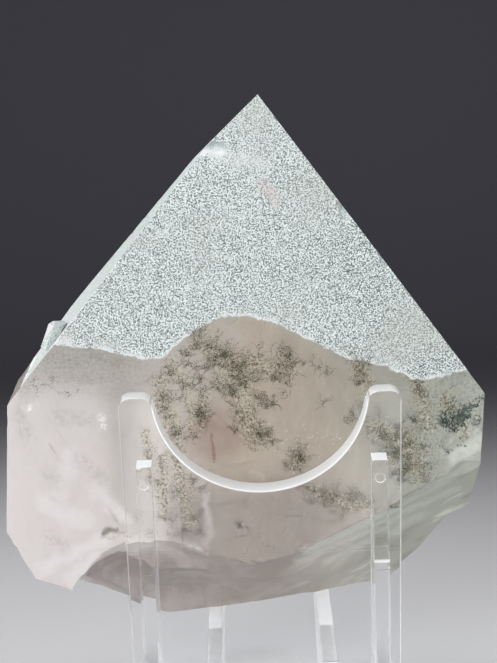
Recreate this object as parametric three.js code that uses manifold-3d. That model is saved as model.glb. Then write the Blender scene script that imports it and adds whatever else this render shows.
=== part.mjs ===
// A broad quartz point leaning on a small clear moulded display stand, seen here from behind the stand.
// Millimetres, +Z up. The stand's rear faces -Y, the crystal rests on the front arms, towards +Y.
import * as THREE from 'three';
import { mergeVertices } from 'three/addons/utils/BufferGeometryUtils.js';
import Module from 'manifold-3d';

const wasm = await Module();
wasm.setup();

// Driving sizes of the stand. Everything that leans is drawn square to the plate from one origin,
// in the plate's rear face and just above the ears' top, and then turned and lifted into place.
const LEAN = THREE.MathUtils.degToRad(12);
const ORIGIN_HEIGHT = 64.5;
const EAR_DROP = 0.8;
const PLATE_WIDTH = 50;
const PLATE_THICKNESS = 3.5;
const PLATE_EDGE = 0.3;
const NOTCH_RADIUS = 19;
const NOTCH_DEPTH = 19.2;
const EAR_CORNER = 1.8;
const RIB_WIDTH = 2.75;
const RIB_INSET = 19.45;
const RIB_TOP_DROP = 12.5;
const RIB_TOP_REACH = 3.3;
const RIB_FLARE = 0.8;
const ARM_SPACING = 22;
const ARM_SHIFT = 1;
const ARM_WIDTH = 2.8;
const ARM_DROP = 56;
const ARM_FALL = 0.052;
const ARM_LENGTH = 48;
const ARM_TIP_LENGTH = 3;
const ARM_TIP_HEIGHT = 5;
const ARM_TIP_OUTLINE = [[0.8, -0.6], [1, 0.7], [0.7, 1], [0.3, 1], [0, 0.7], [0, 0]];
const FOOT_LENGTH = 44;
const JOIN_DEPTH = 1;
const ROUND_SEGMENTS = 24;

// Driving sizes of the crystal
const REST_GAP = 0.3;
const AXIS_TILT = THREE.MathUtils.degToRad(2.2);
const TIP_OFFSET = 0.35;
const TIP_HEIGHT = 52.7;
const LEFT_HALF_ANGLE = THREE.MathUtils.degToRad(37.1);
const RIGHT_HALF_ANGLE = THREE.MathUtils.degToRad(37.7);
const RHOMB_ANGLE = THREE.MathUtils.degToRad(38.2);
const LEFT_TURN = THREE.MathUtils.degToRad(2);
const RIGHT_TURN = THREE.MathUtils.degToRad(9);
const BACK_TURN = THREE.MathUtils.degToRad(30);
const LEFT_HALF_WIDTH = 40.6;
const LEFT_SPREAD = 0.046;
const RIGHT_HALF_WIDTH = 42.4;
const DEPTH = 42;
const RIDGE_OFFSET = 3;
const BACK_RIGHT_OFFSET = 0.5;
const BACK_LEFT_OFFSET = 0.3;
const FACE_FRONT = PLATE_THICKNESS + REST_GAP;
const CRYSTAL_MIDDLE = new THREE.Vector3(-5, 18, 0);
const STEP_COUNT = 6;
const STEP_TOP = -58;
const STEP_PITCH = 7.5;
const STEP_HEIGHT = 4.2;
const STEP_DEPTHS = [0.35, 0.525, 0.7];
const STEP_SLANTS = [-0.036, 0.06];
const STEP_STAGGER = 1.6;
const SIDE_CRYSTAL_RADIUS = 1.6;
const SIDE_CRYSTAL_LENGTH = 6;
const SIDE_CRYSTAL_TOP = -11;

// Colours and finish
const clearPlastic = new THREE.MeshStandardMaterial({
  color: 0xd9dde2, roughness: 0.12, metalness: 0, transparent: true, opacity: 0.45 });
const quartz = new THREE.MeshStandardMaterial({ color: 0xc6cbc5, roughness: 0.3, metalness: 0 });

// Helpers: closed geometry to solid and back
const WELD = 1e-4;
function solidFrom(geometry) {
  const bare = geometry.clone();
  bare.deleteAttribute('normal');
  bare.deleteAttribute('uv');
  const merged = mergeVertices(bare, WELD);
  return new wasm.Manifold(new wasm.Mesh({
    numProp: 3,
    vertProperties: new Float32Array(merged.attributes.position.array),
    triVerts: new Uint32Array(merged.index.array),
  }));
}

function geometryFrom(solid) {
  const mesh = solid.getMesh();
  const geometry = new THREE.BufferGeometry();
  geometry.setAttribute('position', new THREE.BufferAttribute(new Float32Array(mesh.vertProperties), 3));
  geometry.setIndex(new THREE.BufferAttribute(new Uint32Array(mesh.triVerts), 1));
  return geometry;
}

// A point given as across, in front of the plate's rear face, and down along the plate
function onPlate(across, front, down) {
  return new THREE.Vector3(across, front, -down);
}

// A point of the stand's side profile in level axes, with the lean already taken in
function sidePoint(front, down) {
  const y = down * Math.sin(LEAN) + front * Math.cos(LEAN);
  const z = ORIGIN_HEIGHT - down * Math.cos(LEAN) + front * Math.sin(LEAN);
  return new THREE.Vector2(y, z);
}

// Turns what is drawn square to the plate to its lean, and lifts the drawing's origin to its height
function leaned(geometry) {
  return geometry.rotateX(LEAN).translate(0, 0, ORIGIN_HEIGHT);
}

// Everything beyond a plane, as a block that can be cut away
const CUT_BLOCK = 1200;
function beyond(normal, point) {
  const block = new THREE.BoxGeometry(CUT_BLOCK, CUT_BLOCK, CUT_BLOCK).translate(0, 0, CUT_BLOCK / 2);
  const turn = new THREE.Quaternion().setFromUnitVectors(
    new THREE.Vector3(0, 0, 1), normal.clone().normalize());
  return solidFrom(block.applyQuaternion(turn).translate(point.x, point.y, point.z));
}

// The plane through three points, with its outward side away from the crystal's middle
function breakPlane(a, b, c) {
  const point = onPlate(...a);
  const normal = new THREE.Vector3().crossVectors(
    onPlate(...b).sub(point), onPlate(...c).sub(point)).normalize();
  if (normal.dot(CRYSTAL_MIDDLE.clone().sub(point)) > 0) normal.negate();
  return { normal, point, cutter: beyond(normal, point) };
}

// A shallow shell-shaped chip on a plane: a ball that dips below it by the depth
const BALL_DETAIL = 10;
function shell(plane, across, down, radius, depth, stretch = [1, 1, 1]) {
  const { normal, point } = plane;
  const front = point.y - (normal.x * (across - point.x) + normal.z * (-down - point.z)) / normal.y;
  const centre = onPlate(across, front, down).addScaledVector(normal, radius - depth);
  const ball = new THREE.IcosahedronGeometry(radius, BALL_DETAIL).scale(...stretch);
  return solidFrom(ball.translate(centre.x, centre.y, centre.z));
}

// Stand: plate with a half-round notch between two ears
function plate() {
  const half = PLATE_WIDTH / 2 - PLATE_EDGE;
  const radius = NOTCH_RADIUS + PLATE_EDGE;
  const top = -PLATE_EDGE - EAR_DROP;
  const bottom = -ORIGIN_HEIGHT / Math.cos(LEAN) - JOIN_DEPTH;
  const notchCentre = radius - NOTCH_DEPTH - PLATE_EDGE;
  const notchStart = Math.asin((notchCentre - top + EAR_CORNER) / radius);
  const outline = new THREE.Shape();
  outline.moveTo(-half, bottom);
  outline.lineTo(half, bottom);
  outline.lineTo(half, top - EAR_CORNER);
  outline.absarc(half - EAR_CORNER, top - EAR_CORNER, EAR_CORNER, 0, Math.PI / 2, false);
  outline.lineTo(radius + EAR_CORNER, top);
  outline.absarc(radius + EAR_CORNER, top - EAR_CORNER, EAR_CORNER, Math.PI / 2, Math.PI, false);
  outline.absarc(0, notchCentre, radius, -notchStart, Math.PI + notchStart, true);
  outline.absarc(-radius - EAR_CORNER, top - EAR_CORNER, EAR_CORNER, 0, Math.PI / 2, false);
  outline.lineTo(-half + EAR_CORNER, top);
  outline.absarc(-half + EAR_CORNER, top - EAR_CORNER, EAR_CORNER, Math.PI / 2, Math.PI, false);
  outline.closePath();
  const sheet = new THREE.ExtrudeGeometry(outline, {
    depth: PLATE_THICKNESS - 2 * PLATE_EDGE, curveSegments: ROUND_SEGMENTS,
    bevelEnabled: true, bevelThickness: PLATE_EDGE, bevelSize: PLATE_EDGE, bevelSegments: 1 });
  sheet.translate(0, 0, PLATE_EDGE - PLATE_THICKNESS).rotateX(Math.PI / 2);
  return solidFrom(leaned(sheet));
}

// A flat web cut to a side profile and set at a place across the stand
const PROFILE_TURN = new THREE.Matrix4().makeBasis(
  new THREE.Vector3(0, 1, 0), new THREE.Vector3(0, 0, 1), new THREE.Vector3(1, 0, 0));

function web(profile, across, width) {
  const sheet = new THREE.ExtrudeGeometry(new THREE.Shape(profile), { depth: width, bevelEnabled: false });
  sheet.translate(0, 0, -width / 2).applyMatrix4(PROFILE_TURN).translate(across, 0, 0);
  return solidFrom(sheet);
}

function ribProfile() {
  const crown = sidePoint(-RIB_TOP_REACH, RIB_TOP_DROP);
  const plateFoot = sidePoint(JOIN_DEPTH, ORIGIN_HEIGHT / Math.cos(LEAN));
  return [
    sidePoint(JOIN_DEPTH, RIB_TOP_DROP),
    crown,
    new THREE.Vector2(crown.x - RIB_FLARE, 0),
    new THREE.Vector2(plateFoot.x, 0),
  ];
}

function armDrop(front) {
  return ARM_DROP + ARM_FALL * front;
}

// The arm's upturned tip is drawn in shares of its length forward and its height upward
function armProfile() {
  const root = PLATE_THICKNESS - JOIN_DEPTH;
  const plateFoot = sidePoint(root, ORIGIN_HEIGHT / Math.cos(LEAN));
  const tip = ([forward, upward]) => sidePoint(
    ARM_LENGTH + forward * ARM_TIP_LENGTH, armDrop(ARM_LENGTH) - upward * ARM_TIP_HEIGHT);
  return [
    sidePoint(root, armDrop(root)),
    new THREE.Vector2(plateFoot.x, 0),
    new THREE.Vector2(FOOT_LENGTH, 0),
    ...ARM_TIP_OUTLINE.map(tip),
  ];
}

function standSolid() {
  let stand = plate();
  for (const side of [-1, 1]) {
    stand = stand.add(web(ribProfile(), side * (RIB_INSET + RIB_WIDTH / 2), RIB_WIDTH));
    stand = stand.add(web(armProfile(), ARM_SHIFT + side * ARM_SPACING / 2, ARM_WIDTH));
  }
  const table = beyond(new THREE.Vector3(0, 0, -1), new THREE.Vector3(0, 0, 0));
  return stand.subtract(table);
}

// Crystal: the grown faces, drawn with the tip at the origin and the long axis upright
const BODY_BLOCK = 260;
function growthFace(azimuth, slope, point) {
  const level = Math.cos(slope);
  return beyond(new THREE.Vector3(
    Math.sin(azimuth) * level, -Math.cos(azimuth) * level, Math.sin(slope)), point);
}

function grownPoint() {
  const tip = new THREE.Vector3(0, 0, 0);
  const right = Math.PI / 2;
  const leftSlope = Math.atan(Math.tan(LEFT_HALF_ANGLE) * Math.cos(LEFT_TURN));
  const rightSlope = Math.atan(Math.tan(RIGHT_HALF_ANGLE) * Math.cos(RIGHT_TURN));
  const backRight = Math.PI - BACK_TURN;
  const ridge = new THREE.Vector3(RIDGE_OFFSET, DEPTH, 0);
  let body = solidFrom(new THREE.BoxGeometry(BODY_BLOCK, BODY_BLOCK, BODY_BLOCK));
  const faces = [
    growthFace(0, 0, tip),
    growthFace(right + RIGHT_TURN, rightSlope, tip),
    growthFace(-right - LEFT_TURN, leftSlope, tip),
    growthFace(right, 0, new THREE.Vector3(RIGHT_HALF_WIDTH, 0, 0)),
    growthFace(-right, LEFT_SPREAD, new THREE.Vector3(-LEFT_HALF_WIDTH, 0, 0)),
    growthFace(backRight, RHOMB_ANGLE, new THREE.Vector3(0, BACK_RIGHT_OFFSET, 0)),
    growthFace(-backRight, RHOMB_ANGLE, new THREE.Vector3(0, BACK_LEFT_OFFSET, 0)),
    growthFace(backRight, 0, ridge),
    growthFace(-backRight, 0, ridge),
  ];
  for (const face of faces) body = body.subtract(face);
  for (const side of [1, -1]) {
    for (const step of growthSteps(side * backRight, ridge)) body = body.subtract(step);
  }
  return body;
}

// Low ledges across a prism face at the back, each a thin slice taken off between two heights
function growthSteps(azimuth, ridge) {
  const outward = new THREE.Vector3(Math.sin(azimuth), -Math.cos(azimuth), 0);
  const side = Math.sign(azimuth);
  const steps = [];
  for (let count = 0; count < STEP_COUNT; count += 1) {
    const top = STEP_TOP - count * STEP_PITCH - side * STEP_STAGGER;
    const depth = STEP_DEPTHS[count % STEP_DEPTHS.length];
    const slant = side * STEP_SLANTS[count % STEP_SLANTS.length];
    const upperLine = new THREE.Vector3(0, 0, top);
    const lowerLine = new THREE.Vector3(0, 0, top - STEP_HEIGHT);
    const slice = beyond(outward, ridge.clone().addScaledVector(outward, -depth));
    const above = beyond(new THREE.Vector3(slant, 0, 1), upperLine);
    const below = beyond(new THREE.Vector3(-slant / 2, 0, -1), lowerLine);
    steps.push(slice.subtract(above).subtract(below));
  }
  return steps;
}

// Moves what is drawn on the crystal's own axis to its place against the plate
function seated(solid) {
  const geometry = geometryFrom(solid).rotateY(AXIS_TILT).translate(TIP_OFFSET, FACE_FRONT, TIP_HEIGHT);
  return solidFrom(geometry);
}

// The broken foot: flat breaks through three points each, then shell-shaped chips on them
function brokenFoot() {
  const rest = (across, front) => [across, front, ARM_DROP - REST_GAP + ARM_FALL * front];
  const leftHollow = breakPlane([-25, FACE_FRONT, 30], [0, FACE_FRONT, 35], [-16, 20, 55.2]);
  const rightBreak = breakPlane([0, FACE_FRONT, 36], [20, FACE_FRONT, 25.7], [12, 23.8, 53.8]);
  const leftUnder = breakPlane([-16, 20, 55.4], [-29, 20, 50.8], [-16, 34, 61]);
  const rightUnder = breakPlane([-7, 20, 51.9], [21, 20, 48.4], [12, 38, 57.6]);
  const underside = breakPlane(rest(0, 10), rest(10, 10), rest(0, 40));
  const lobeLeft = breakPlane([-46.9, FACE_FRONT, 28.2], [-42.5, FACE_FRONT, 37.4], [-45, 25, 41]);
  const lobeFoot = breakPlane([-42.5, FACE_FRONT, 37.4], [-34.9, FACE_FRONT, 40.4], [-38, 25, 48]);
  const rightFoot = breakPlane([26.5, 20, 46.8], [39.5, 20, 31.8], [26.5, 35, 52.4]);
  const rightSide = breakPlane([39.5, 20, 31.8], [43, 20, 23], [39.5, 30, 34]);
  const lobeSide = beyond(new THREE.Vector3(0.7, -0.1, -0.71), onPlate(-29.5, FACE_FRONT, 35.3));
  const flats = [
    leftHollow.cutter.intersect(lobeSide), rightBreak.cutter, leftUnder.cutter, rightUnder.cutter,
    underside.cutter, lobeLeft.cutter, lobeFoot.cutter, rightFoot.cutter, rightSide.cutter,
  ];
  const shells = [
    shell(leftHollow, -19, 34, 13, 1.6, [1.3, 1, 1]),
    shell(leftHollow, -15, 46, 26, 2.4, [1.2, 1, 1]),
    shell(leftHollow, -26, 45, 14, 1.8, [0.8, 1, 1.3]),
    shell(leftHollow, -6, 41, 14, 1.5, [1.5, 1, 0.8]),
    shell(rightBreak, 6, 35, 12, 1.3, [1.6, 1, 0.8]),
    shell(rightBreak, 9, 42, 30, 2.2, [1.5, 1, 0.8]),
    shell(rightBreak, 25, 32, 34, 2, [1.3, 1, 0.8]),
    shell(rightBreak, 34, 22, 18, 1.4, [1.3, 1, 0.7]),
    shell(rightBreak, 37, 17, 8, 1.1),
    shell(rightFoot, 33, 38, 22, 1.5),
    shell(rightFoot, 24, 50, 17, 1.4),
    shell(rightUnder, 4, 54, 16, 1.2),
    shell(lobeFoot, -36, 44, 20, 1.4, [1.4, 1, 1]),
    shell(lobeLeft, -45.5, 34, 12, 1),
  ];
  return [...flats, ...shells];
}

// Chips and facets on the broad face and along its edges
function smallChips() {
  const face = { normal: new THREE.Vector3(0, -1, 0), point: onPlate(0, FACE_FRONT, 0) };
  const tipSlope = beyond(new THREE.Vector3(-0.69, 0.12, 0.72), onPlate(-7.1, FACE_FRONT, -43.6));
  const corner = breakPlane([32.2, FACE_FRONT, 0], [32.3, FACE_FRONT, 13], [42, 6.6, 6]);
  const cornerTop = beyond(new THREE.Vector3(0.1, 0, 1), onPlate(36, FACE_FRONT, -0.8));
  return [
    tipSlope,
    corner.cutter.subtract(cornerTop),
    shell(corner, 37, 9, 7, 0.9),
    shell(face, -6.6, -42.4, 2.4, 0.8, [1.5, 1, 0.8]),
    shell(face, 15.9, -32.2, 3, 0.8, [0.8, 1, 1.6]),
    shell(face, 22.6, -22.6, 2.2, 0.5, [0.8, 1, 1.8]),
    shell(face, -28.4, 28.6, 1.5, 0.9),
    shell(face, -26.4, 29, 1.6, 0.7, [1.6, 1, 0.5]),
    shell(face, -41.5, 1.6, 2.6, 0.5, [1, 1, 1.6]),
  ];
}

// A small blunt crystal that has grown on the left edge, broken off level at its top
function sideCrystal() {
  const prism = new THREE.CylinderGeometry(
    SIDE_CRYSTAL_RADIUS, SIDE_CRYSTAL_RADIUS, SIDE_CRYSTAL_LENGTH, 6);
  const direction = new THREE.Vector3(0.37, 0, 0.93).normalize();
  const turn = new THREE.Quaternion().setFromUnitVectors(new THREE.Vector3(0, 1, 0), direction);
  const seat = onPlate(-36.2, 8, -9);
  prism.applyQuaternion(turn).translate(seat.x, seat.y, seat.z);
  const top = beyond(new THREE.Vector3(0, 0, 1), onPlate(0, 0, SIDE_CRYSTAL_TOP));
  return solidFrom(prism).subtract(top);
}

function crystalSolid() {
  let crystal = seated(grownPoint());
  for (const cut of [...brokenFoot(), ...smallChips()]) crystal = crystal.subtract(cut);
  crystal = crystal.add(sideCrystal());
  return solidFrom(leaned(geometryFrom(crystal)));
}

// Assembly, centred on the table
function piece(name, solid, material) {
  const mesh = new THREE.Mesh(geometryFrom(solid), material);
  mesh.name = name;
  return mesh;
}

const group = new THREE.Group();
group.add(piece('display_stand', standSolid(), clearPlastic));
group.add(piece('crystal', crystalSolid(), quartz));

const reach = new THREE.Box3().setFromObject(group);
group.position.set(-(reach.min.x + reach.max.x) / 2, -(reach.min.y + reach.max.y) / 2, -reach.min.z);
group.updateMatrixWorld(true);

export default group;
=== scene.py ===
# %% [markdown]
# # A quartz point on its clear display stand
# The object is one broad quartz crystal, milky-clear in its lower half and dusted with pale green
# chlorite above, leaning on a small clear moulded easel. We look at it from behind the easel.
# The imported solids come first. They fix every size and place, and the looks are built on them.

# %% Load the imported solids
import math
import random

import bmesh
import bpy
from mathutils import Matrix, Vector, noise
from mathutils.bvhtree import BVHTree


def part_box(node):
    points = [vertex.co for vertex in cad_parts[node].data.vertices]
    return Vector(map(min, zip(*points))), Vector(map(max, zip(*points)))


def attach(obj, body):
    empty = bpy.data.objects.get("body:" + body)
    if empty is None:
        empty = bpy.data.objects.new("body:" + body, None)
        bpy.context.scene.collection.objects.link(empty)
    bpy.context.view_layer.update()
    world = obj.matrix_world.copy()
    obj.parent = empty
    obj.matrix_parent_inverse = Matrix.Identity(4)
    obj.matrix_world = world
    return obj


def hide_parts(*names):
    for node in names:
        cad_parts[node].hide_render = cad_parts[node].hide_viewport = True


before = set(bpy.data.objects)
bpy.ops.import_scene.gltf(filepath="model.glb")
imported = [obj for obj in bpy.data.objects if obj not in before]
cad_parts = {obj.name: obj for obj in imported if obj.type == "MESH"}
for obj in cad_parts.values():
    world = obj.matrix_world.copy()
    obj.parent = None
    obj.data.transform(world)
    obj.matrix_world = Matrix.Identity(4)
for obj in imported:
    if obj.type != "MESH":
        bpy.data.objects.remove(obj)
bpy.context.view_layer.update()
stand_low, stand_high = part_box("display_stand")

# %% [markdown]
# ## Places on the plate
# The easel's back plate leans by 12 degrees, and the crystal's broad face lies against it. So a place
# is given as the plate sees it: how far across, how far in front of the plate's rear face, and how far
# down along it, in millimetres. `on_plate` turns that into a point of the scene. The plate's middle and
# its rear-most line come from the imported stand, so nothing has to be fitted by hand.

# %% Turn places on the plate into points of the scene
MM = 0.001
LEAN = math.radians(12)
ORIGIN_HEIGHT = 64.5
PLATE_WIDTH = 50
PLATE_THICKNESS = 3.5
RIB_TOP_DROP = 12.5
RIB_TOP_REACH = 3.3
RIB_FLARE = 0.8
FACE_FRONT = 3.8

rib_crown = RIB_TOP_DROP * math.sin(LEAN) - RIB_TOP_REACH * math.cos(LEAN)
SHIFT_ACROSS = (stand_low.x + stand_high.x) / 2 / MM
SHIFT_FRONT = stand_low.y / MM - (rib_crown - RIB_FLARE)


def level(front, down):
    """How far forward and how high a place on the plate is, in level millimetres."""
    forward = down * math.sin(LEAN) + front * math.cos(LEAN)
    height = ORIGIN_HEIGHT - down * math.cos(LEAN) + front * math.sin(LEAN)
    return forward, height


def level_point(across, forward, height):
    return Vector((SHIFT_ACROSS + across, SHIFT_FRONT + forward, height)) * MM


def on_plate(across, front, down):
    return level_point(across, *level(front, down))


def placed(name, data):
    """A new object of that name in the scene."""
    made = bpy.data.objects.new(name, data)
    bpy.context.scene.collection.objects.link(made)
    return made


INTO_CRYSTAL = (on_plate(0, 1, 0) - on_plate(0, 0, 0)).normalized()
print("plate origin at", tuple(on_plate(0, 0, 0)), "into the crystal:", tuple(INTO_CRYSTAL))

# %% [markdown]
# ## Camera
# The photograph was taken from behind the easel, less than 30 cm away and a little above the notch. The
# place, the dip and the slight roll were worked out from the plate's parallel edges and its half-round
# notch. The lens is given for the picture's height, so the crop keeps the photo's frame.

# %% Place the camera
CAMERA_PLACE = Vector((1.9, -296.4, 107.1)) * MM
CAMERA_DIP = math.radians(6.8)
CAMERA_ROLL = math.radians(-1.8)
PICTURE_HEIGHT_ON_SENSOR = 36.0
LENS = 84.2

camera_data = bpy.data.cameras.new("camera")
camera_data.sensor_fit = "VERTICAL"
camera_data.sensor_height = PICTURE_HEIGHT_ON_SENSOR
camera_data.lens = LENS
camera_data.clip_start = 0.01
camera = placed("camera", camera_data)
camera.matrix_world = (
    Matrix.Translation(CAMERA_PLACE)
    @ Matrix.Rotation(math.pi / 2 - CAMERA_DIP, 4, "X")
    @ Matrix.Rotation(CAMERA_ROLL, 4, "Z")
)
bpy.context.scene.camera = camera
print("camera", tuple(camera.location), "lens", LENS)

# %% [markdown]
# ## Writing shader sums as Python
# A node tree is hard to read as a list of links. `Wire` wraps an output socket, so that `1 - coat * 0.5`
# adds its own Math nodes. Every other node comes from `Finish.node`, which takes the node's type, its
# settings, and the values or links of its inputs.

# %% Wires and finishes
SQUARE_ON = (1, 0, 1)


class Wire:
    """An output socket that can stand in a sum. Each sum adds one Math node."""

    def __init__(self, finish, socket):
        self.finish = finish
        self.socket = socket

    def sum(self, operation, first, second):
        return self.finish.node("Math", {"operation": operation}, {0: first, 1: second})

    def __add__(self, other):
        return self.sum("ADD", self, other)

    __radd__ = __add__

    def __sub__(self, other):
        return self.sum("SUBTRACT", self, other)

    def __rsub__(self, other):
        return self.sum("SUBTRACT", other, self)

    def __mul__(self, other):
        return self.sum("MULTIPLY", self, other)

    __rmul__ = __mul__

    def __truediv__(self, other):
        return self.sum("DIVIDE", self, other)

    def most(self, other):
        return self.sum("MAXIMUM", self, other)

    def size(self):
        return self.sum("ABSOLUTE", self, 0)

    def rise(self, low, high):
        """0 under low, 1 over high, and a smooth climb between them. With low over high it falls."""
        limits = {"Value": self, "From Min": low, "From Max": high}
        return self.finish.node("MapRange", {"interpolation_type": "SMOOTHSTEP"}, limits)


class Finish:
    """A material being made. node() adds any node and hands back its output, or several."""

    def __init__(self, name):
        self.material = bpy.data.materials.new(name)
        self.material.use_nodes = True
        self.tree = self.material.node_tree
        self.tree.nodes.clear()

    def node(self, kind, settings=None, inputs=None, output=0):
        made = self.tree.nodes.new("ShaderNode" + kind)
        for name, value in (settings or {}).items():
            if name == "stops":
                self.set_stops(made.color_ramp, value)
            elif name == "curve":
                self.set_curve(made.mapping, value)
            else:
                setattr(made, name, value)
        for key, value in (inputs or {}).items():
            if isinstance(value, Wire):
                self.tree.links.new(value.socket, made.inputs[key])
            elif made.inputs[key].type == "RGBA":
                made.inputs[key].default_value = (*value, 1)
            else:
                made.inputs[key].default_value = value
        if isinstance(output, tuple):
            return [Wire(self, made.outputs[one]) for one in output]
        return Wire(self, made.outputs[output])

    @staticmethod
    def set_stops(ramp, stops):
        while len(ramp.elements) < len(stops):
            ramp.elements.new(1)
        for element, (position, colour) in zip(ramp.elements, stops):
            element.position = position
            element.color = (*colour, 1)

    @staticmethod
    def set_curve(mapping, points):
        curve = mapping.curves[0]
        while len(curve.points) < len(points):
            curve.points.new(0.5, 0.5)
        for knot, place in zip(curve.points, points):
            knot.location = place
        mapping.update()

    def vector(self, operation, first, second, output=0):
        """A sum on places or directions. Where it gives a number, that is output 1."""
        return self.node("VectorMath", {"operation": operation}, {0: first, 1: second}, output)

    def plate_place(self):
        """Across, front and up on the plate in millimetres, for the point being shaded."""
        back = Matrix.Rotation(-LEAN, 3, "X")
        offset = -(back @ Vector((SHIFT_ACROSS, SHIFT_FRONT, ORIGIN_HEIGHT)))
        place = self.node("TexCoord", output=3)
        return self.node("Mapping", {"vector_type": "POINT"}, {
            "Vector": place, "Scale": (1 / MM, 1 / MM, 1 / MM),
            "Rotation": (-LEAN, 0, 0), "Location": tuple(offset)})

    def grain(self, place, size, detail=2, roughness=0.5, stretch=None):
        """Soft noise about size millimetres wide, from 0 to 1."""
        if stretch:
            place = self.vector("MULTIPLY", place, stretch)
        return self.node("TexNoise", {}, {
            "Vector": place, "Scale": 1 / size, "Detail": detail, "Roughness": roughness})

    def pushed(self, place, size, amount):
        """The place pushed about by soft noise, so that what is drawn there gets a ragged edge."""
        push = self.node("TexNoise", {}, {"Vector": place, "Scale": 1 / size, "Detail": 3.0}, output=1)
        push = self.vector("SUBTRACT", push, (0.5, 0.5, 0.5))
        push = self.node("VectorMath", {"operation": "SCALE"}, {0: push, "Scale": 2 * amount})
        return self.vector("ADD", place, push)

    def from_stroke(self, place, start, end):
        """How far a place is, seen square to the plate, from a straight stroke across and down it."""
        start = Vector((start[0], 0, -start[1]))
        along = Vector((end[0], 0, -end[1])) - start
        offset = self.vector("SUBTRACT", self.vector("MULTIPLY", place, SQUARE_ON), start)
        per_length = along / max(along.length_squared, 1e-6)
        share = self.node("Clamp", {}, {0: self.vector("DOT_PRODUCT", offset, per_length, 1)})
        nearest = self.node("VectorMath", {"operation": "SCALE"}, {0: along, "Scale": share})
        return self.vector("DISTANCE", offset, nearest, 1)

    def strokes(self, place, drawn):
        """1 on any of the strokes, fading to 0 at each one's own half width."""
        shares = [self.from_stroke(place, start, end).rise(half, 0) for start, end, half in drawn]
        total = shares[0]
        for share in shares[1:]:
            total = total.most(share)
        return total

    def blend(self, share, first, second):
        """A colour between two: the first where share is 0, the second where it is 1."""
        return self.node("Mix", {"data_type": "RGBA"}, {0: share, 6: first, 7: second}, output=2)

    def overlaid(self, colour, layers):
        """A colour with others laid over it in turn, each where its own share is 1."""
        for share, over in layers:
            colour = self.blend(share, colour, over)
        return colour

    def layer(self, share, under, over):
        """The upper shader where share is 1, the lower one where it is 0."""
        return self.node("MixShader", {}, {0: share, 1: under, 2: over})

    def relief(self, height, depth, under=None):
        """A normal for low relief, depth being the real depth in millimetres."""
        inputs = {"Height": height, "Distance": depth * MM, "Strength": 1.0}
        if under:
            inputs["Normal"] = under
        return self.node("Bump", {}, inputs)

    def done(self, surface, volume=None):
        output = self.tree.nodes.new("ShaderNodeOutputMaterial")
        self.tree.links.new(surface.socket, output.inputs["Surface"])
        if volume:
            self.tree.links.new(volume.socket, output.inputs["Volume"])
        print("finish", self.material.name, "with", len(self.tree.nodes), "nodes")
        return self.material


# %% [markdown]
# ## Floor, backdrop and lamps
# The object stands on a plain pale floor that sweeps up into a plain grey wall, so no line shows where
# they meet. A large lamp on the viewer's side lights the broad face, a fill softens its shade, one
# overhead draws the stand's edges, and two behind make the milky body glow.

# %% Make the floor, the backdrop and the lamps
FLOOR_COLOUR = (0.42, 0.42, 0.43)
WALL_COLOUR = (0.1, 0.1, 0.118)
WORLD_LIGHT = (0.22, 0.22, 0.235)
FLOOR_HALF = 1.6
SWEEP_START = 0.45
SWEEP_RADIUS = 0.35
SWEEP_STEPS = 16
WALL_TOP = 1.6
FADE_START = 0.08
FADE_END = 0.42


def backdrop_finish():
    """Matt paper, pale under the object and grey behind it."""
    finish = Finish("backdrop_paper")
    place = finish.node("TexCoord", output=3)
    back = finish.node("SeparateXYZ", {}, {0: place}, output=1)
    mottle = finish.node("TexNoise", {}, {"Vector": place, "Scale": 9, "Detail": 3.0})
    shade = finish.blend(back.rise(FADE_START, FADE_END) + (mottle - 0.5) * 0.03, FLOOR_COLOUR, WALL_COLOUR)
    return finish.done(finish.node("BsdfPrincipled", {}, {"Base Color": shade, "Roughness": 0.8}))


def sweep():
    """The floor, the curve behind it and the wall, as one sheet."""
    profile = [(-FLOOR_HALF, 0), (SWEEP_START, 0)]
    for step in range(1, SWEEP_STEPS + 1):
        turn = math.pi / 2 * step / SWEEP_STEPS
        profile.append((
            SWEEP_START + SWEEP_RADIUS * math.sin(turn), SWEEP_RADIUS * (1 - math.cos(turn))))
    profile.append((SWEEP_START + SWEEP_RADIUS, WALL_TOP))
    mesh = bpy.data.meshes.new("floor_and_backdrop")
    places = [(side * FLOOR_HALF, y, z) for y, z in profile for side in (-1, 1)]
    strips = [(2 * i, 2 * i + 1, 2 * i + 3, 2 * i + 2) for i in range(len(profile) - 1)]
    mesh.from_pydata(places, [], strips)
    mesh.shade_smooth()
    mesh.materials.append(backdrop_finish())
    made = placed("floor_and_backdrop", mesh)


sweep()
world = bpy.data.worlds.new("soft_room")
world.use_nodes = True
world.node_tree.nodes["Background"].inputs["Color"].default_value = (*WORLD_LIGHT, 1)
bpy.context.scene.world = world
bpy.context.scene.view_settings.view_transform = "Standard"

AIM = Vector((0, 0, 55)) * MM


def lamp(name, place, width, watts, spread):
    """A square soft box at a place in millimetres, aimed at the middle of the stone."""
    light = bpy.data.lights.new(name, "AREA")
    light.size = width * MM
    light.energy = watts
    light.spread = math.radians(spread)
    made = placed(name, light)
    made.location = Vector(place) * MM
    made.rotation_euler = (AIM - made.location).to_track_quat("-Z", "Y").to_euler()
    made.visible_camera = False
    print("lamp", name, place, watts, "W")


lamp("viewer_lamp", (-330, -560, 230), 420, 1, 90)
lamp("viewer_fill", (400, -480, 130), 320, 0.34, 90)
lamp("top_lamp", (0, -60, 480), 300, 0.26, 80)
lamp("back_left_lamp", (-430, 260, 210), 240, 0.26, 50)
lamp("back_right_lamp", (430, 240, 190), 240, 0.2, 50)

# %% [markdown]
# ## The crystal's form
# A quartz point has flat faces that grew, and a foot where it broke off its rock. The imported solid
# already has both, so the form starts as a copy of its mesh: flat stretches are merged, then every
# edge over a limit is halved until the skin is fine enough to carve. Only the broken faces are then
# carved, with the ripples of a shell-like break. The grown faces stay flat, and their edges get nicks.

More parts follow.
